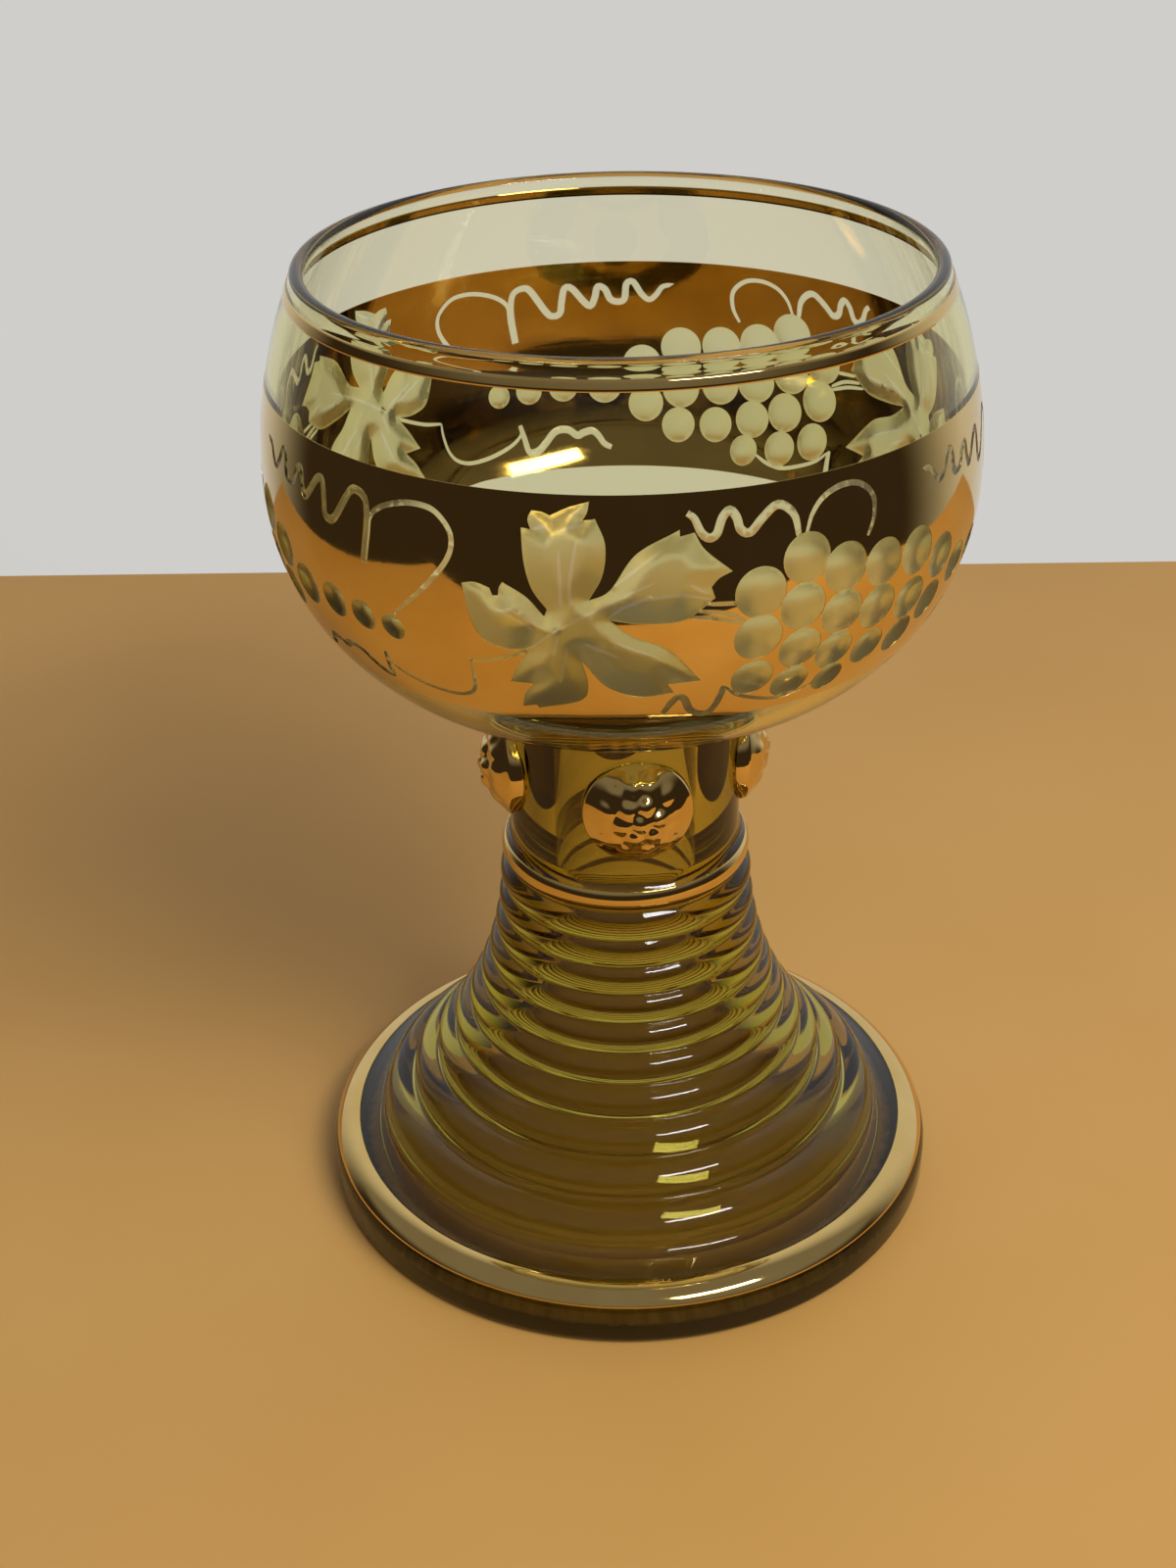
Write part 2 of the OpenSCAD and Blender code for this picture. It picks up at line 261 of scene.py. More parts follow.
def bowl_profiles():
    """Section of the bowl below the band, from the axis out, and above it, over the lip and in to the axis.
    Inside, an even wall meets the flat floor in a soft maximum of their heights:
    z + k log(1 + exp(-(z - floor) / k)), where k is the roundness of the corner."""
    lip_z = TOP_Z - LIP_R
    lip_x = outside_r(np.array(lip_z)) - BOWL_WALL / 2
    inside_r = BOWL_R - BOWL_WALL
    upper_r = UPPER_CURVE_R - BOWL_WALL
    rise = np.degrees(np.arcsin((lip_z - widest_z) / upper_r))
    dip = np.degrees(np.arcsin((BAND_LOW - widest_z) / LOWER_CURVE_R))
    start = np.degrees(np.arcsin((BAND_HIGH - widest_z) / UPPER_CURVE_R))
    end = np.degrees(np.arcsin((lip_z - widest_z) / UPPER_CURVE_R))
    join = np.degrees(np.arcsin((SHANK_R - bowl_foot_r) / LOWER_CURVE_R)) - 90
    bottom = arc((bowl_foot_r, widest_z), LOWER_CURVE_R - BOWL_WALL, 0, -90, 48)[1:]
    above = bottom[:, 1] - BOWL_Z - BOWL_FLOOR
    bottom[:, 1] += FLOOR_ROUND * np.log1p(np.exp(-above / FLOOR_ROUND))
    lower = np.concatenate([
        line((0, BOWL_Z), (SHANK_R, BOWL_Z), 8)[:-1],
        arc((bowl_foot_r, widest_z), LOWER_CURVE_R, join, dip, 28),
    ])
    upper = np.concatenate([
        arc((BOWL_R - UPPER_CURVE_R, widest_z), UPPER_CURVE_R, start, end, 14),
        arc((lip_x, lip_z), LIP_R, LIP_FROM, LIP_TO, 12),
        arc((inside_r - upper_r, widest_z), upper_r, rise, 0, 24),
        bottom,
        line(bottom[-1], (0, bottom[-1, 1]), 8)[1:],
    ])
    return lower, upper


def grid_quads(rows, columns, closed):
    """Quads of a grid whose last column joins its first. In a closed grid the last row joins the first."""
    last = rows if closed else rows - 1
    i, j = np.meshgrid(np.arange(last), np.arange(columns), indexing="ij")
    here, below = i * columns, (i + 1) % rows * columns
    beside = (j + 1) % columns
    return np.stack([here + j, here + beside, below + beside, below + j], -1).reshape(-1, 4)


def revolve(profile, azimuths, closed):
    """Surface of a section turned round the axis: points and quads of a grid of (section point, azimuth).
    A closed section joins its last point to its first."""
    points = around(profile[:, None, 0], profile[:, None, 1], azimuths[None, :])
    return points.reshape(-1, 3), grid_quads(len(profile), len(azimuths), closed)


def add_piece(name, points, faces, materials, face_slots=None, normals=None, marks=()):
    """Makes a mesh of points in millimetres, with a material slot and named marks for each face, and normals
    for each corner."""
    mesh = bpy.data.meshes.new(name)
    mesh.from_pydata((points * MM).tolist(), [], [f for group in faces for f in group.tolist()])
    for material in materials:
        mesh.materials.append(material)
    if face_slots is not None:
        mesh.polygons.foreach_set("material_index", face_slots.astype(np.int32))
    mesh.polygons.foreach_set("use_smooth", np.ones(len(mesh.polygons), bool))
    for mark, values in dict(marks).items():
        mesh.attributes.new(mark, "FLOAT", "FACE").data.foreach_set("value", values.astype(np.float32))
    if normals is not None:
        mesh.normals_split_custom_set(normals.tolist())
    mesh.update()
    piece = bpy.data.objects.new(name, mesh)
    bpy.context.scene.collection.objects.link(piece)
    return piece


def weld(points, faces):
    """Joins points that lie on each other, found on a fine lattice, and drops doubled corners of faces."""
    keys = np.round(points / SAME_PLACE).astype(np.int64)
    _, first, back = np.unique(keys, axis=0, return_index=True, return_inverse=True)
    joined = [back.ravel()[group] for group in faces]
    out = []
    for group in joined:
        if group.shape[1] == 4:
            flat = group[:, 0] == group[:, 1]
            folded = group[:, 2] == group[:, 3]
            out.append(group[~(flat | folded)])
            out.append(group[flat][:, [0, 2, 3]])
            out.append(group[folded][:, [0, 1, 2]])
        else:
            out.append(group)
    return points[first], out


# The vine: outlines in millimetres round the bowl and up from the leaf's middle

# Runs of the leaf's outline: each is a smooth curve, and the leaf has a corner where a run ends
LEAF_RUNS = (
    ((-1.9, 2.9), (-3.4, 5.0), (-4.2, 7.8), (-4.5, 11.4)),
    ((-4.5, 11.4), (-3.5, 11.3)),
    ((-3.5, 11.3), (-3.8, 12.3), (-3.4, 13.2)),
    ((-3.4, 13.2), (-2.3, 13.1), (-1.5, 12.8)),
    ((-1.5, 12.8), (0.4, 13.7), (2.5, 14.3)),
    ((2.5, 14.3), (2.3, 13.2), (1.8, 12.4)),
    ((1.8, 12.4), (3.1, 12.6)),
    ((3.1, 12.6), (4.1, 10.0), (3.8, 6.8), (2.4, 4.1)),
    ((2.4, 4.1), (4.5, 5.2), (7.2, 9.0), (11.6, 11.3)),
    ((11.6, 11.3), (11.6, 10.6)),
    ((11.6, 10.6), (13.1, 10.9)),
    ((13.1, 10.9), (14.2, 9.0), (17.0, 6.5)),
    ((17.0, 6.5), (15.6, 5.9), (14.8, 5.0)),
    ((14.8, 5.0), (15.2, 3.8)),
    ((15.2, 3.8), (12.0, 1.6), (8.0, 1.4), (4.5, 1.9)),
    ((4.5, 1.9), (6.8, 0.0), (10.5, -1.8), (14.2, -6.2)),
    ((14.2, -6.2), (10.6, -6.4)),
    ((10.6, -6.4), (11.3, -7.6)),
    ((11.3, -7.6), (7.5, -8.0), (4.0, -6.5), (1.5, -3.1)),
    ((1.5, -3.1), (2.0, -6.3), (1.0, -8.6), (-3.9, -10.2)),
    ((-3.9, -10.2), (-4.2, -9.8)),
    ((-4.2, -9.8), (-5.9, -10.2)),
    ((-5.9, -10.2), (-5.3, -8.3), (-4.1, -6.6)),
    ((-4.1, -6.6), (-6.7, -6.6)),
    ((-6.7, -6.6), (-5.4, -4.0), (-4.0, -1.9)),
    ((-4.0, -1.9), (-6.5, -2.2), (-9.0, -1.4), (-10.3, 1.2), (-11.0, 4.8)),
    ((-11.0, 4.8), (-9.5, 5.1), (-7.9, 4.7)),
    ((-7.9, 4.7), (-7.6, 3.9)),
    ((-7.6, 3.9), (-7.0, 4.0)),
    ((-7.0, 4.0), (-6.9, 4.8), (-6.5, 5.5)),
    ((-6.5, 5.5), (-4.0, 4.1), (-2.2, 2.1)),
    ((-2.2, 2.1), (-1.9, 2.9)),
)

# Veins of the leaf, cut deeper, with a whiter milky colour that is a painted highlight
VEINS = (
    ((1.1, 10.2), (0.4, 6.0), (0.3, 2.6)),
    ((-0.8, 9.0), (-0.6, 3.0)),
    ((9.9, 9.2), (4.8, 5.5)),
    ((14.7, 3.7), (11.5, 4.0), (8.0, 3.7), (5.8, 3.0), (4.3, 2.1)),
    ((12.8, 5.1), (14.4, 4.2)),
    ((-8.1, 2.3), (-3.7, -0.1)),
    ((-6.5, 2.3), (-2.4, -0.1)),
    ((4.0, -0.9), (9.7, -3.5)),
    ((1.8, -1.4), (5.5, -3.4)),
    ((-1.1, -0.8), (-1.7, -3.4)),
    ((-0.1, -2.0), (-1.3, -7.2)),
    ((-4.0, -2.0), (-1.0, 0.0), (2.0, 2.0), (5.0, 3.7), (9.0, 5.5)),
    ((-1.2, 12.2), (0.6, 12.9), (2.2, 13.9)),
    ((-1.2, 11.0), (0.8, 11.6), (2.9, 12.3)),
    ((-3.9, 11.0), (-2.4, 11.5), (-1.3, 11.0)),
)

# Grapes: place and radius, down each column of the bunch, then the shrinking tail
GRAPES = (
    (20.1, 3.7, 2.85), (20.1, -1.5, 2.75), (20.1, -6.8, 2.5),
    (25.3, 6.5, 2.8), (25.0, 1.2, 2.7), (25.3, -4.0, 2.6), (25.1, -8.6, 2.4),
    (30.1, 4.4, 2.8), (30.1, -0.8, 2.7), (30.1, -5.6, 2.5), (30.7, -9.6, 2.1),
    (35.5, 3.5, 2.7), (35.3, -1.7, 2.65), (35.5, -6.9, 2.4),
    (41.1, 3.0, 2.75), (40.9, -2.6, 2.6), (41.0, -7.3, 2.4),
    (46.4, 0.6, 2.6), (45.8, -4.7, 2.45), (51.6, -2.2, 2.45),
    (57.4, -2.1, 2.1), (62.3, -2.3, 1.85), (66.7, -2.5, 1.6),
)

# Cut lines: points of a smooth curve
STEM = ((-11.0, -4.4), (-8.0, -3.75), (-4.0, -2.0), (-1.0, 0.0))
STALKS = (
    ((14.4, 3.2), (18.0, 2.9)),
    ((13.4, 2.5), (16.2, 2.0), (18.4, 0.9)),
    ((12.9, 1.9), (15.6, 1.4), (18.4, 0.4)),
)
TENDRIL_LOOP = (
    (-19.7, -0.5), (-15.7, 3.2), (-12.6, 7.1), (-12.2, 9.8), (-14.0, 11.8), (-16.4, 12.2),
    (-18.8, 11.8), (-21.0, 10.9), (-22.4, 9.6), (-22.7, 7.5), (-23.2, 4.3),
)
TENDRIL_WAVES = (
    (-23.6, 4.4), (-23.0, 7.9), (-22.9, 10.0), (-23.3, 11.4), (-24.5, 11.9), (-25.6, 11.4),
    (-27.9, 8.1), (-28.9, 7.6), (-29.7, 8.0), (-29.9, 9.5), (-30.3, 11.4), (-31.3, 11.3),
    (-32.9, 9.4), (-33.8, 8.7), (-34.4, 9.8), (-34.8, 11.4), (-35.8, 11.0), (-36.5, 9.6),
    (-37.5, 9.2), (-38.4, 9.6), (-38.7, 11.7), (-39.6, 12.0), (-40.7, 10.3), (-41.7, 9.5),
    (-42.6, 10.1), (-43.5, 11.3), (-44.4, 11.6),
)
LOW_TENDRIL = (
    (-11.0, -4.4), (-10.9, -5.9), (-11.2, -8.0), (-12.1, -9.3), (-14.0, -10.0), (-16.8, -10.0),
    (-19.6, -9.5), (-21.8, -8.7), (-23.0, -7.7), (-23.2, -6.6),
)
LOW_WAVES = (
    (-23.0, -6.6), (-23.4, -8.4), (-23.7, -9.9), (-24.5, -10.2), (-25.5, -9.9), (-26.6, -9.1),
    (-27.9, -8.0), (-29.1, -7.7), (-30.2, -7.9), (-31.3, -8.6), (-32.2, -8.3), (-33.5, -8.1),
    (-34.4, -8.7), (-35.2, -9.7), (-36.3, -10.2),
)
OVER_LOOP = (
    (33.0, 7.1), (33.9, 9.0), (33.8, 11.3), (32.0, 12.9),
    (29.6, 13.2), (27.4, 12.5), (26.0, 11.1), (25.3, 9.4),
)
OVER_WAVES = (
    (24.3, 9.2), (23.9, 11.2), (22.8, 12.4), (21.7, 12.6), (20.2, 11.5), (18.9, 10.3),
    (17.9, 10.7), (17.5, 12.0), (16.8, 12.8), (16.0, 12.1), (15.4, 10.6), (14.6, 10.2),
    (13.8, 10.8), (13.1, 12.3), (12.4, 12.9),
)
UNDER_LINE = ((16.9, -7.4), (18.7, -9.0), (21.6, -10.2), (24.1, -10.8), (26.6, -10.6), (28.6, -9.9))
UNDER_WAVES = (
    (16.9, -7.4), (16.7, -8.8), (16.2, -10.6), (15.4, -11.4), (14.3, -11.2), (13.3, -10.4),
    (12.6, -8.8), (11.8, -8.3), (11.1, -9.2), (10.3, -10.8),
)

# Widths of the cut lines, in the middle and at the ends
THIN_LINE = (0.5, 0.3)
LOOP_LINE = (0.62, 0.4)
WAVE_LINE = (0.95, 0.65)
VEIN_LINE = (0.4, 0.14)

# Spacing of the points along outlines and grapes, and of those that fill the gold and the cuts
OUTLINE_STEP = 0.4
GRAPE_STEP = 0.52
GOLD_STEP = 1.4
CUT_STEP = 0.55

# Room between filling points and outlines, as a share of the filling's spacing
FILL_ROOM = 0.45

# Depth of the wheel's cuts, and the least depth, at the edge of each
LEAST_DEPTH = 1e-4
GRAPE_DEPTH = 0.6
LEAF_SLOPE = 0.38
LEAF_DEPTH = 0.85
LINE_DEPTH = 0.12
VEIN_DEPTH = 0.3

# How matt the thin lines are, as a share of the leaf's matt
LINE_GROUND = 0.6


def smooth_curve(points, step):
    """Curve through the points: between two of them runs a cubic whose slope at each point is half the step
    from the point before it to the point after it."""
    p = np.array(points, float)
    ends = np.concatenate([2 * p[:1] - p[1:2], p, 2 * p[-1:] - p[-2:-1]])
    pieces = []
    for a, b, c, d in zip(ends[:-3], ends[1:-2], ends[2:-1], ends[3:]):
        count = max(2, int(np.ceil(np.linalg.norm(c - b) / step)))
        t = np.linspace(0, 1, count, endpoint=False)[:, None]
        cubic = 2 * b + (c - a) * t + (2 * a - 5 * b + 4 * c - d) * t**2 + (3 * b - a - 3 * c + d) * t**3
        pieces.append(cubic / 2)
    return np.concatenate(pieces + [p[-1:]])


def stroke(points, widths):
    """Outline of a cut line: its smooth curve moved to both sides by half a width that narrows to the ends.
    Returns the closed outline, and the curve with its half widths."""
    path = smooth_curve(points, OUTLINE_STEP)
    along = np.gradient(path, axis=0)
    along /= np.linalg.norm(along, axis=1)[:, None]
    across = np.stack([-along[:, 1], along[:, 0]], 1)
    t = np.linspace(-1, 1, len(path))
    half = (widths[1] + (widths[0] - widths[1]) * (1 - t**4)) / 2
    sides = np.concatenate([path + across * half[:, None], (path - across * half[:, None])[::-1]])
    return sides, path, half


def grape_outline(place):
    """Circle on the bowl's surface, drawn flatter where the bowl leans in, with even steps."""
    u, v, radius = place
    count = int(np.ceil(2 * np.pi * radius / GRAPE_STEP))
    a = np.linspace(0, 2 * np.pi, count, endpoint=False)
    lean, _ = outside_normal(np.array(LEAF_Z + v))
    return np.stack([u + radius * np.cos(a), v + radius * lean * np.sin(a)], 1)


def distance_to_path(points, path):
    """Distance of each point from a chain of straight steps, and the place along it, counted in steps."""
    start = path[:-1]
    step = path[1:] - start
    t = np.einsum("pij,ij->pi", points[:, None] - start, step) / np.maximum((step**2).sum(1), TINY)
    t = np.clip(t, 0, 1)
    gap = np.linalg.norm(points[:, None] - start - t[..., None] * step, axis=2)
    nearest = gap.argmin(1)
    row = np.arange(len(points))
    return gap[row, nearest], nearest + t[row, nearest]


def share_of_width(points, path, half):
    """Distance of each point from a cut line's middle, as a share of half the line's width there."""
    gap, place = distance_to_path(points, path)
    return gap / np.interp(place, np.arange(len(half)), half)


def inside_outline(points, outline):
    """True for each point inside a closed outline: a ray to the right crosses it an odd number of times."""
    a = outline
    b = np.roll(outline, -1, 0)
    u, v = points[:, 0, None], points[:, 1, None]
    spans = (a[:, 1] > v) != (b[:, 1] > v)
    rise = np.where(b[:, 1] == a[:, 1], TINY, b[:, 1] - a[:, 1])
    crossing = a[:, 0] + (v - a[:, 1]) / rise * (b[:, 0] - a[:, 0])
    return (spans & (u < crossing)).sum(1) % 2 == 1


def vine_shapes():
    """Cuts of one repeat, apart from the grapes: the leaf's outline, cut lines and veins."""
    leaf = np.concatenate([smooth_curve(run, OUTLINE_STEP)[:-1] for run in LEAF_RUNS])
    after = np.array([PERIOD, 0.0])
    lines = [stroke(STEM, THIN_LINE)]
    lines += [stroke(stalk, THIN_LINE) for stalk in STALKS]
    lines += [stroke(np.array(TENDRIL_LOOP) + after, LOOP_LINE)]
    lines += [stroke(np.array(TENDRIL_WAVES) + after, WAVE_LINE)]
    lines += [stroke(np.array(LOW_TENDRIL) + shift, THIN_LINE) for shift in (0 * after, after)]
    lines += [stroke(np.array(LOW_WAVES) + after, WAVE_LINE)]
    lines += [stroke(OVER_LOOP, LOOP_LINE), stroke(OVER_WAVES, WAVE_LINE)]
    lines += [stroke(UNDER_LINE, THIN_LINE), stroke(UNDER_WAVES, WAVE_LINE)]
    veins = [stroke(vein, VEIN_LINE) for vein in VEINS]
    return leaf, lines, veins


def cut_of(points, leaf, lines, veins):
    """Depth of the cuts at each point, 0 in the gold. Grapes are shallow lenses, and lines shallow channels.
    The leaf slopes down from its outline: the distance from it times the slope, up to the leaf's depth, so
    narrow lobes have a crease along their middle. Also marks the points in veins and in thin lines."""
    in_leaf = inside_outline(points, leaf)
    edge, _ = distance_to_path(points, np.concatenate([leaf, leaf[:1]]))
    depth = np.where(in_leaf, np.minimum(LEAF_SLOPE * edge, LEAF_DEPTH) + LEAST_DEPTH, 0)
    for u, v, radius in GRAPES:
        lean, _ = outside_normal(np.array(LEAF_Z + v))
        share = np.hypot(points[:, 0] - u, (points[:, 1] - v) / lean) / radius
        depth = np.maximum(depth, np.where(share < 1, GRAPE_DEPTH * (1 - share**2) + LEAST_DEPTH, 0))
    bare = depth == 0
    thin = np.zeros(len(points), bool)
    for _, path, half in lines:
        share = share_of_width(points, path, half)
        thin |= (share < 1) & bare
        depth = np.maximum(depth, np.where(share < 1, LINE_DEPTH * (1 - share**2) + LEAST_DEPTH, 0))
    bright = np.zeros(len(points), bool)
    for _, path, half in veins:
        share = share_of_width(points, path, half)
        bright |= (share < 1) & in_leaf
        depth = np.where((share < 1) & in_leaf, depth + VEIN_DEPTH * (1 - share), depth)
    return depth, bright, thin


def fill_points(step, edges, keep):
    """Points of a triangular lattice over one repeat that lie off its edges, where keep holds."""
    row = step * np.sqrt(3) / 2
    v = np.arange(BAND_LOW - LEAF_Z + row, BAND_HIGH - LEAF_Z - row / 2, row)
    u = np.arange(SEAM_U + step / 2, SEAM_U + PERIOD - step / 2, step)
    grid_u, grid_v = np.meshgrid(u, v)
    grid_u = grid_u + np.where(np.arange(len(v)) % 2, step / 2, 0)[:, None]
    points = np.stack([grid_u.ravel(), grid_v.ravel()], 1)
    points = points[points[:, 0] < SEAM_U + PERIOD - step / 3]
    near = np.array([np.hypot(*(edges - p).T).min() for p in points])
    return points[(near > step * FILL_ROOM) & keep(points)]


def band_mesh():
    """One repeat of the band as triangles that respect every outline, then all repeats side by side.
    Returns places (u, v) and triangles of the whole band, the cuts' depth at each place, and three marks on
    each triangle: cut through the gold, lying in a vein, which takes a painted highlight, and lying in a
    thin line."""
    leaf, lines, veins = vine_shapes()
    grapes = [grape_outline(grape) for grape in GRAPES]
    strokes = [outline for outline, _, _ in lines + veins]
    low, high = BAND_LOW - LEAF_Z, BAND_HIGH - LEAF_Z
    columns = SEAM_U + PERIOD * np.arange(BAND_COLUMNS + 1) / BAND_COLUMNS
    rows = np.linspace(low, high, BAND_ROWS + 1)[1:-1]
    frame_loop = np.concatenate([
        np.stack([columns, np.full(len(columns), low)], 1),
        np.stack([np.full(len(rows), columns[-1]), rows], 1),
        np.stack([columns[::-1], np.full(len(columns), high)], 1),
        np.stack([np.full(len(rows), columns[0]), rows[::-1]], 1),
    ])
    loops = [frame_loop, leaf] + grapes + strokes
    starts = np.cumsum([0] + [len(loop) for loop in loops])
    edges = []
    for start, loop in zip(starts, loops):
        index = start + np.arange(len(loop))
        edges.append(np.stack([index, np.roll(index, -1)], 1))
    rim = np.concatenate(loops)
    inner = fill_points(CUT_STEP, rim, lambda p: cut_of(p, leaf, lines, veins)[0] > 0)
    outer = fill_points(GOLD_STEP, rim, lambda p: cut_of(p, leaf, lines, veins)[0] == 0)
    verts = np.concatenate([rim, inner, outer])
    result = delaunay_2d_cdt(verts.tolist(), np.concatenate(edges).tolist(), [], 0, SAME_CROSSING, False)
    places = np.array([tuple(p) for p in result[0]])
    triangles = np.array(result[2])
    middle = places[triangles].mean(1)
    within = (middle > (SEAM_U, low)) & (middle < (SEAM_U + PERIOD, high))
    triangles = triangles[within.all(1)]
    used, triangles = np.unique(triangles, return_inverse=True)
    triangles = triangles.reshape(-1, 3)
    places = places[used]
    middle = places[triangles].mean(1)
    mid_depth, mid_vein_highlight, mid_line = cut_of(middle, leaf, lines, veins)
    depth = cut_of(places, leaf, lines, veins)[0]
    left = np.flatnonzero(np.abs(places[:, 0] - SEAM_U) < SAME_PLACE)
    right = np.flatnonzero(np.abs(places[:, 0] - SEAM_U - PERIOD) < SAME_PLACE)
    left = left[places[left, 1].argsort()]
    right = right[places[right, 1].argsort()]
    if len(left) != len(right):
        raise ValueError("the band's seam doesn't match")
    index = np.arange(len(places))
    all_places, all_triangles = [], []
    for repeat in range(VINE_REPEATS):
        numbers = index + repeat * len(places)
        numbers[right] = left + (repeat + 1) % VINE_REPEATS * len(places)
        all_places.append(places + (repeat * PERIOD, 0))
        all_triangles.append(numbers[triangles])
    whole = np.concatenate(all_triangles)
    used, whole = np.unique(whole, return_inverse=True)
    return (
        np.concatenate(all_places)[used],
        whole.reshape(-1, 3),
        np.tile(depth, VINE_REPEATS)[used],
        np.tile(mid_depth > 0, VINE_REPEATS),
        np.tile(mid_vein_highlight, VINE_REPEATS),
        np.tile(mid_line, VINE_REPEATS),
    )


# Materials


def linear(colour):
    """Linear colour of an sRGB hex value."""
    c = np.array([int(colour[i : i + 2], 16) / 255 for i in (1, 3, 5)])
    return (*np.where(c <= 0.04045, c / 12.92, ((c + 0.055) / 1.055) ** 2.4), 1.0)


def add_node(tree, kind, inputs=(), **settings):
    """Adds a node, sets its properties, and links or sets its inputs by name or number."""
    new = tree.nodes.new(kind)
    for name, value in settings.items():
        setattr(new, name, value)
    for socket, value in dict(inputs).items():
        if isinstance(value, bpy.types.NodeSocket):
            tree.links.new(value, new.inputs[socket])
        else:
            new.inputs[socket].default_value = value
    return new


def new_material(name):
    """Material with an empty node tree and its output."""
    material = bpy.data.materials.new(name)
    material.use_nodes = True
    tree = material.node_tree
    tree.nodes.clear()
    output = add_node(tree, "ShaderNodeOutputMaterial")
    where = add_node(tree, "ShaderNodeTexCoord").outputs["Object"]
    return material, tree, output, where


def noise(tree, where, size, detail):
    """Noise with features of a size in millimetres: its scale is one over the size in metres."""
    inputs = {"Vector": where, "Scale": 1 / (size * MM), "Detail": detail}
    return add_node(tree, "ShaderNodeTexNoise", inputs).outputs["Fac"]


def face_mark(tree, name):
    """Value of a mark that the mesh carries on its faces."""
    mark = add_node(tree, "ShaderNodeAttribute", attribute_name=name, attribute_type="GEOMETRY")
    return mark.outputs["Fac"]


def blend(tree, share, first, second, kind="RGBA"):
    """Colour or number between two: first times (1 - share) plus second times share."""
    inputs = {"Factor": share, "A": first, "B": second}
    return add_node(tree, "ShaderNodeMix", inputs, data_type=kind).outputs["Result"]


def blown_glass(name, body, absorb, density, frost):
    """Soda-lime glass, blown and fire polished: a smooth skin with slow waves from the blowpipe, a few dull
    wipe marks, and a colour that deepens with thickness. Where the wheel has ground it, it is matt and
    milky, and whiter in the veins, which is a painted highlight."""
    material, tree, output, where = new_material(name)
    ground = face_mark(tree, "ground")
    waves = noise(tree, where, 16, 1.0)
    wipes = noise(tree, where, 9, 5.0)
    dull = add_node(tree, "ShaderNodeMapRange", {
        "Value": wipes, "From Min": 0.55, "From Max": 0.8, "To Min": 0.0, "To Max": 0.012})
    grit = noise(tree, where, 0.5, 3.0)
    matt = add_node(tree, "ShaderNodeMapRange", {"Value": grit, "To Min": 0.28, "To Max": 0.42})
    rough = blend(tree, ground, dull.outputs["Result"], matt.outputs["Result"], "FLOAT")
    # Whiter milky colour in the veins: a painted highlight
    milky = blend(tree, face_mark(tree, "vein"), linear(frost), linear("#fdf8d8"))
    colour = blend(tree, ground, linear(body), milky)
    clear = add_node(tree, "ShaderNodeMapRange", {"Value": ground, "To Min": 1.0, "To Max": 0.88})
    bump = add_node(tree, "ShaderNodeBump", {"Height": waves, "Strength": 0.12, "Distance": 0.4 * MM})
    glass = add_node(tree, "ShaderNodeBsdfPrincipled", {
        "Base Color": colour, "Roughness": rough, "IOR": 1.5,
        "Transmission Weight": clear.outputs["Result"], "Normal": bump.outputs["Normal"]})
    inside = add_node(tree, "ShaderNodeVolumeAbsorption", {"Color": linear(absorb), "Density": density})
    tree.links.new(glass.outputs["BSDF"], output.inputs["Surface"])
    tree.links.new(inside.outputs["Volume"], output.inputs["Volume"])
    return material


def fired_gold(name, bright, deep, low_rough, high_rough):
    """Bright gold, painted on and fired: a mirror film that follows the glass, a little cloudy where the
    brush laid it thin, with fine polishing lines that run round the piece."""
    material, tree, output, where = new_material(name)
    clouds = noise(tree, where, 7, 4.0)
    squeezed = add_node(tree, "ShaderNodeMapping", {"Vector": where, "Scale": (1.0, 1.0, 40.0)})
    lines = noise(tree, squeezed.outputs["Vector"], 12, 3.0)
    colour = blend(tree, clouds, linear(bright), linear(deep))
    mixed = add_node(tree, "ShaderNodeMath", {0: clouds, 1: lines}, operation="MULTIPLY")
    rough = add_node(tree, "ShaderNodeMapRange", {
        "Value": mixed.outputs["Value"], "From Min": 0.12, "From Max": 0.45,
        "To Min": low_rough, "To Max": high_rough})
    bump = add_node(tree, "ShaderNodeBump", {"Height": clouds, "Strength": 0.1, "Distance": 0.15 * MM})
    film = add_node(tree, "ShaderNodeBsdfPrincipled", {
        "Base Color": colour, "Metallic": 1.0, "Roughness": rough.outputs["Result"],
        "Normal": bump.outputs["Normal"]})
    tree.links.new(film.outputs["BSDF"], output.inputs["Surface"])
    return material


def dusty_base_painted_shade():
    """Ring that the foot stands on, and the wall of the mouth inside it: ground matt, dusty inside, and
    darker towards the outer edge with painted shade that stands in for the shaded table under the rim."""
    material, tree, output, where = new_material("ground_glass_base_dust_painted_shade")
    dust = noise(tree, where, 1.5, 4.0)
    radius = add_node(tree, "ShaderNodeVectorMath", {0: where}, operation="LENGTH")
    # Painted shade: the tone falls towards the outer edge, where the table under the rim lies in shade
    edge_shade = add_node(tree, "ShaderNodeMapRange", {
        "Value": radius.outputs["Value"], "From Min": SHADE_STARTS * MM, "From Max": SHADE_FULL * MM,
        "To Min": 0.2, "To Max": -0.6}, clamp=False)
    tone = add_node(tree, "ShaderNodeMath", {
        0: dust, 1: edge_shade.outputs["Result"]}, operation="ADD", use_clamp=True)
    # Dark brown is the painted shade and pale tan is the ground glass; the dust noise varies it at random
    colour = blend(tree, tone.outputs["Value"], linear("#3a2614"), linear("#f0c890"))
    matt = add_node(tree, "ShaderNodeBsdfPrincipled", {"Base Color": colour, "Roughness": 0.55})
    tree.links.new(matt.outputs["BSDF"], output.inputs["Surface"])
    return material


def tan_table():
    """Warm tan laminate: matt, with a faint cloudy tone."""
    material, tree, output, where = new_material("table_matt_laminate")
    colour = blend(tree, noise(tree, where, 60, 4.0), linear("#d0a05a"), linear("#c6944a"))
    top = add_node(tree, "ShaderNodeBsdfPrincipled", {"Base Color": colour, "Roughness": 0.6})
    tree.links.new(top.outputs["BSDF"], output.inputs["Surface"])
    return material


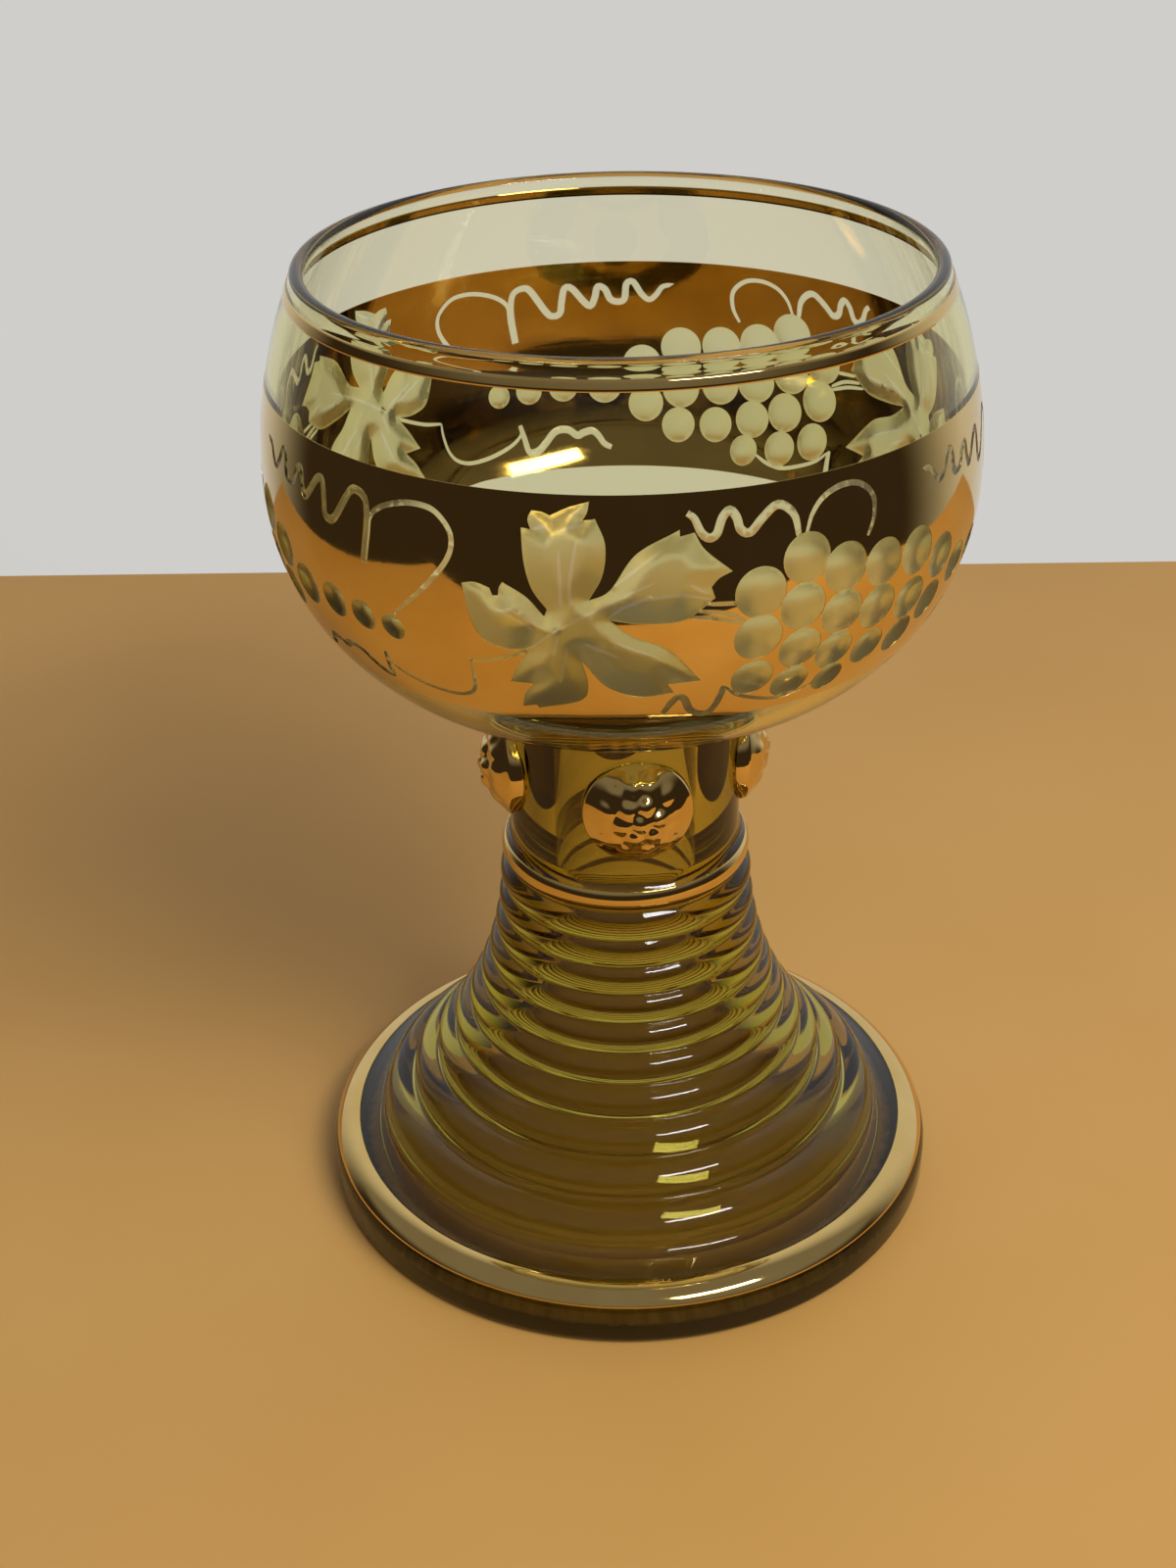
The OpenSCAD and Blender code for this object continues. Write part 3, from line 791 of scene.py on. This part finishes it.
pale_glass = blown_glass("pale_blown_soda_glass", "#ffffff", "#fbf12c", 190.0, "#e8e09c")
green_glass = blown_glass("green_olive_soda_glass", "#fdfdf6", "#e5de4b", 215.0, "#dfe6b0")
gold = fired_gold("fired_bright_gold", "#efd491", "#dcb76c", 0.03, 0.09)
gold_back = fired_gold("fired_gold_through_glass", "#c1a865", "#977844", 0.03, 0.1)
# Darker copy of the gold: painted shade on the prunts' backs, which are seen through the shank
prunt_back_painted_shade = fired_gold("fired_gold_under_prunt_painted_shade", "#7a4f22", "#46290f", 0.03, 0.08)


# Pieces of glass


def finish_piece(piece, slot, *nodes):
    """Rides a piece on the one body, and hides the nodes that it stands for. The slot, its finish, is not
    used.
    """
    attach(piece, "root")
    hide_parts(*nodes)


places, triangles, depths, cut_marks, vein_highlight_marks, line_marks = band_mesh()


def make_bowl():
    """Bowl: revolved below and above the band, with the band's triangles between, sunk by the cuts."""
    columns = VINE_REPEATS * BAND_COLUMNS
    azimuths = LEAF_TURN + np.degrees(SEAM_U / BOWL_R) + np.arange(columns) * (360 / columns)
    lower, upper = bowl_profiles()
    low_points, low_quads = revolve(lower, azimuths, False)
    high_points, high_quads = revolve(upper, azimuths, False)
    band = on_bowl(places[:, 0], LEAF_Z + places[:, 1], -depths)
    points = np.concatenate([low_points, high_points, band])
    quads = np.concatenate([low_quads, high_quads + len(low_points)])
    band_faces = triangles + len(low_points) + len(high_points)
    points, faces = weld(points, [quads, band_faces])
    plain = np.zeros(sum(len(group) for group in faces[:-1]))
    marks = {
        "ground": np.concatenate([plain, np.where(line_marks, LINE_GROUND, 1.0) * cut_marks]),
        # The vein mark carries the painted highlight of the veins
        "vein": np.concatenate([plain, vein_highlight_marks]),
    }
    bowl = add_piece("blown_bowl", points, faces, [pale_glass], marks=marks)
    finish_piece(bowl, "pale_glass", "bowl")


def make_foot():
    """Foot and shank, one body of green glass turned from a closed section. The ring that it stands on and
    the wall of the mouth are ground, in an opaque material with painted shade towards the outer edge."""
    profile = foot_profile()
    points, quads = revolve(profile, FOOT_AZIMUTHS, True)
    radius, height = profile.T
    # Faces of the base, which take the opaque material with painted shade
    base_faces = (height < BASE_FACE_H) | ((radius < MOUTH_R + BASE_FACE_H) & (height < MOUTH_H + BASE_FACE_H))
    slots = np.repeat(base_faces & np.roll(base_faces, -1), len(FOOT_AZIMUTHS))
    foot = add_piece("ringed_foot_and_shank", points, [quads], [green_glass, dusty_base_painted_shade()], slots)
    finish_piece(foot, "green_glass", "foot", "shank")


make_bowl()
make_foot()


# Gold


def make_band():
    """Gold of the bowl: the band's triangles that no cut goes through, as a skin with an outer side, an
    inner side that shows through the glass, and thin walls along every cut."""
    kept = triangles[~cut_marks]
    used, local = np.unique(kept, return_inverse=True)
    local = local.reshape(-1, 3)
    u, z = places[used, 0], LEAF_Z + places[used, 1]
    points = np.concatenate([on_bowl(u, z, GOLD_PROUD), on_bowl(u, z, -GOLD_SUNK)])
    out, up = outside_normal(z)
    normal = around(out, up, LEAF_TURN + np.degrees(u / BOWL_R))
    sides = np.concatenate([local[:, [0, 1]], local[:, [1, 2]], local[:, [2, 0]]])
    code = np.sort(sides, 1) @ (len(used), 1)
    _, first, count = np.unique(code, return_index=True, return_counts=True)
    rim = sides[first[count == 1]]
    walls = np.stack([rim[:, 1], rim[:, 0], rim[:, 0] + len(used), rim[:, 1] + len(used)], 1)
    across = np.cross(points[walls[:, 1]] - points[walls[:, 0]], points[walls[:, 3]] - points[walls[:, 0]])
    across /= np.linalg.norm(across, axis=1)[:, None]
    turned = local[:, ::-1]
    normals = np.concatenate([normal[local.ravel()], -normal[turned.ravel()], np.repeat(across, 4, 0)])
    slots = np.concatenate([np.zeros(len(local)), np.ones(len(local)), np.zeros(len(walls))])
    faces = [local, turned + len(used), walls]
    band = add_piece("gold_vine_band", points, faces, [gold, gold_back], slots, normals)
    finish_piece(band, "gilding", "bowl_gilding")


def make_gold_ring(name, path, normal, node):
    """Gold ring: a path in section with its normals, moved out and in by the film's two sides, turned round
    the axis. Its inner side shows through the glass."""
    section = np.concatenate([path + GOLD_PROUD * normal, (path - GOLD_SUNK * normal)[::-1]])
    points, quads = revolve(section, FOOT_AZIMUTHS, True)
    row = np.repeat(np.arange(len(section)), len(FOOT_AZIMUTHS))
    slots = (row >= len(path)) & (row < 2 * len(path) - 1)
    ring = add_piece(name, points, [quads], [gold, gold_back], slots)
    finish_piece(ring, "gilding", node)


def make_lip_line():
    """Gold line under the lip, on the bowl's outside."""
    z = np.linspace(LINE_LOW, LINE_HIGH, 5)
    path = np.stack([outside_r(z), z], 1)
    make_gold_ring("gold_lip_line", path, np.stack(outside_normal(z), 1), "rim_gilding")


def make_bead_gold(name, centre, radius, start, end, node):
    """Gold on a round bead: an arc of its section, with normals that point away from its centre."""
    path = arc(centre, radius, start, end, 18)
    make_gold_ring(name, path, (path - centre) / radius, node)


make_band()
make_lip_line()
make_bead_gold(
    "gold_collar_ring", collar, COLLAR_BEAD_R, -COLLAR_GILT_BELOW, COLLAR_GILT_ABOVE, "collar_gilding")
make_bead_gold("gold_foot_ring", shoulder, SHOULDER_R, FOOT_GILT_FROM, 90, "foot_gilding")


# Prunts


def dome_height(a, b):
    """Distance of a prunt's face from the shank's axis: a ball cap, plus for each berry a round bump, as the
    stamp left it when the glass closed up again: its height times exp(-(distance / berry radius) cubed)."""
    rise = PRUNT_H - PRUNT_EDGE
    dome_r = (PRUNT_R**2 + rise**2) / (2 * rise)
    height = np.sqrt(np.maximum(dome_r**2 - a**2 - b**2, 0)) + SHANK_R + PRUNT_H - dome_r
    for count, distance, proud in BERRY_RINGS:
        for turn in np.radians(BERRY_TURN + 360 / count * np.arange(count)):
            gap = np.hypot(a - distance * np.cos(turn), b - distance * np.sin(turn))
            berry = proud * (1 + BERRY_VARIES * np.sin(BERRY_WAVES * turn))
            height = height + berry * np.exp(-((gap / BERRY_R) ** 3))
    return height


def make_prunt(name, turn, nodes):
    """Raspberry prunt: a disc grid of (distance, angle) raised to the dome and its berries, a round edge, a
    wall down to the shank, and a back that lies in the shank's skin, mirrors the berries through the glass
    and takes a darker gold with painted shade."""
    phi = np.linspace(0, 2 * np.pi, PRUNT_COLUMNS, endpoint=False)
    rho = PRUNT_R * np.sqrt(np.linspace(0, 1, PRUNT_ROWS)) ** PRUNT_SPREAD
    a = rho[:, None] * np.cos(phi)
    b = rho[:, None] * np.sin(phi)
    front = np.stack([dome_height(a, b), a, b], -1)
    edge = front[-1, :, 0]
    seat = np.sqrt(SHANK_R**2 - (PRUNT_R * np.cos(phi)) ** 2) - PRUNT_SINK
    drop = np.array(WALL_DROP)[:, None]
    wide = 1 + np.array(WALL_SWELL)[:, None] / PRUNT_R
    wall = np.stack([edge * (1 - drop) + seat * drop, a[-1] * wide, b[-1] * wide], -1)
    back_a, back_b = a[::-1], b[::-1]
    relief = front[::-1, :, 0] - np.sqrt(np.maximum(SHANK_R**2 - back_a**2 - back_b**2, 0))
    relief = (relief - relief.mean()) / (np.abs(relief).max() + TINY)
    skin = np.sqrt(SHANK_R**2 - back_a**2) - PRUNT_SINK
    back = np.stack([skin - BACK_RELIEF * relief, back_a, back_b], -1)
    grid = np.concatenate([front, wall, back[1:]])
    rows = len(grid)
    out, across, up = grid.reshape(-1, 3).T
    t = np.radians(turn)
    x = out * np.sin(t) + across * np.cos(t)
    y = -out * np.cos(t) + across * np.sin(t)
    points = np.stack([x, y, FOOT_H + PRUNT_RISE + up], 1)
    quads = grid_quads(rows, PRUNT_COLUMNS, False)[:, [1, 0, 3, 2]]
    points, faces = weld(points, [quads])
    # Rows of the back, which take the darker gold with painted shade
    hidden = np.arange(1, rows - 2) >= PRUNT_ROWS + len(drop) - 1
    slots = np.repeat(np.concatenate([hidden, [False, True]]), PRUNT_COLUMNS)
    prunt = add_piece(name, points, faces, [gold, prunt_back_painted_shade], slots)
    finish_piece(prunt, "gilding", *nodes)


for number, side in enumerate(("front", "right", "back", "left")):
    nodes = (f"prunt_{side}", f"prunt_{side}_gilding")
    make_prunt(f"raspberry_prunt_{side}", PRUNT_TURN + 90 * number, nodes)


# Table, light and camera

TABLE_HALF_W = 280.0
TABLE_FRONT = -190.0
TABLE_BACK = 194.0
TABLE_Z = -0.1

# Room: the direction of its pale wall, with a slope up and to the right
PALE_SIDE = (0.15, 1.0, 0.2)


def make_table():
    """Table top: a flat sheet just under the plane of the base."""
    x = np.linspace(-TABLE_HALF_W, TABLE_HALF_W, 13)
    y = np.linspace(TABLE_FRONT, TABLE_BACK, 7)
    grid_x, grid_y = np.meshgrid(x, y)
    points = np.stack([grid_x.ravel(), grid_y.ravel(), np.full(grid_x.size, TABLE_Z)], 1)
    i, j = np.meshgrid(np.arange(len(y) - 1), np.arange(len(x) - 1), indexing="ij")
    corner = i * len(x) + j
    quads = np.stack([corner, corner + 1, corner + len(x) + 1, corner + len(x)], -1).reshape(-1, 4)
    add_piece("table_top", points, [quads], [tan_table()])


def make_room():
    """Room: a pale wall behind the glass that fades to a dim ceiling and a dim side behind the camera."""
    world = bpy.data.worlds.new("soft_room")
    world.use_nodes = True
    tree = world.node_tree
    tree.nodes.clear()
    direction = add_node(tree, "ShaderNodeTexCoord").outputs["Generated"]
    side = add_node(tree, "ShaderNodeVectorMath", {0: direction, 1: PALE_SIDE}, operation="DOT_PRODUCT")
    wall = add_node(tree, "ShaderNodeMapRange", {
        "Value": side.outputs["Value"], "From Min": 0.15, "From Max": 0.8}, interpolation_type="SMOOTHSTEP")
    height = add_node(tree, "ShaderNodeSeparateXYZ", {"Vector": direction})
    ceiling = add_node(tree, "ShaderNodeMapRange", {
        "Value": height.outputs["Z"], "From Min": 0.2, "From Max": 0.5, "To Max": 0.3,
    }, interpolation_type="SMOOTHSTEP")
    share = add_node(tree, "ShaderNodeMath", {
        0: wall.outputs["Result"], 1: ceiling.outputs["Result"]}, operation="MAXIMUM")
    colour = blend(tree, share.outputs["Value"], linear("#352d24"), linear("#cfcecb"))
    light = add_node(tree, "ShaderNodeBackground", {"Color": colour, "Strength": 1.0})
    output = add_node(tree, "ShaderNodeOutputWorld")
    tree.links.new(light.outputs["Background"], output.inputs["Surface"])
    bpy.context.scene.world = world


def look_from(place, target):
    """Placement that stands at a point and looks along its own -Z at a target."""
    back = np.array(place, float) - np.array(target, float)
    back /= np.linalg.norm(back)
    right = np.cross((0, 0, 1), back)
    right /= np.linalg.norm(right)
    turn = Matrix(np.stack([right, np.cross(back, right), back], 1).tolist()).to_4x4()
    return Matrix.Translation(np.array(place) * MM) @ turn


def add_lamp(name, place, target, width, height, power, mirrored):
    """Soft box: a rectangular lamp that stands at a place in millimetres and faces a target. One that is not
    mirrored fills the room without a reflection of its own."""
    lamp = bpy.data.lights.new(name, "AREA")
    lamp.shape = "RECTANGLE"
    lamp.size = width * MM
    lamp.size_y = height * MM
    lamp.energy = power
    box = bpy.data.objects.new(name, lamp)
    box.matrix_world = look_from(place, target)
    box.visible_glossy = mirrored
    box.visible_transmission = mirrored
    bpy.context.scene.collection.objects.link(box)


# Camera that was fitted to the photograph: place in millimetres, turns in degrees, lens
CAMERA_PLACE = (0.0, -239.87, 193.83)
CAMERA_YAW = -1.117
CAMERA_PITCH = 29.731
CAMERA_ROLL = 1.175
CAMERA_LENS = 49.95
CAMERA_SENSOR = 36.0


def make_camera():
    """Camera of the photograph: turned by yaw, tipped down by pitch and rolled about its own axis."""
    yaw, pitch, roll = np.radians((CAMERA_YAW, CAMERA_PITCH, CAMERA_ROLL))
    forward = np.array([np.sin(yaw) * np.cos(pitch), np.cos(yaw) * np.cos(pitch), -np.sin(pitch)])
    level = np.array([np.cos(yaw), -np.sin(yaw), 0])
    down = np.cross(forward, level)
    right = np.cos(roll) * level + np.sin(roll) * down
    down = np.cos(roll) * down - np.sin(roll) * level
    camera = bpy.data.cameras.new("camera")
    camera.lens = CAMERA_LENS
    camera.sensor_width = CAMERA_SENSOR
    camera.clip_start = 0.01
    eye = bpy.data.objects.new("camera", camera)
    turn = Matrix(np.stack([right, -down, -forward], 1).tolist()).to_4x4()
    eye.matrix_world = Matrix.Translation(np.array(CAMERA_PLACE) * MM) @ turn
    bpy.context.scene.collection.objects.link(eye)
    bpy.context.scene.camera = eye


make_table()
make_room()
add_lamp(
    "window_box", place=(300, -430, 560), target=(0, -40, 40),
    width=320, height=80, power=1.6, mirrored=True)
add_lamp(
    "fill_box", place=(380, -430, 620), target=(0, 0, 0),
    width=600, height=450, power=4.2, mirrored=False)
make_camera()
bpy.context.scene.view_settings.view_transform = "Standard"
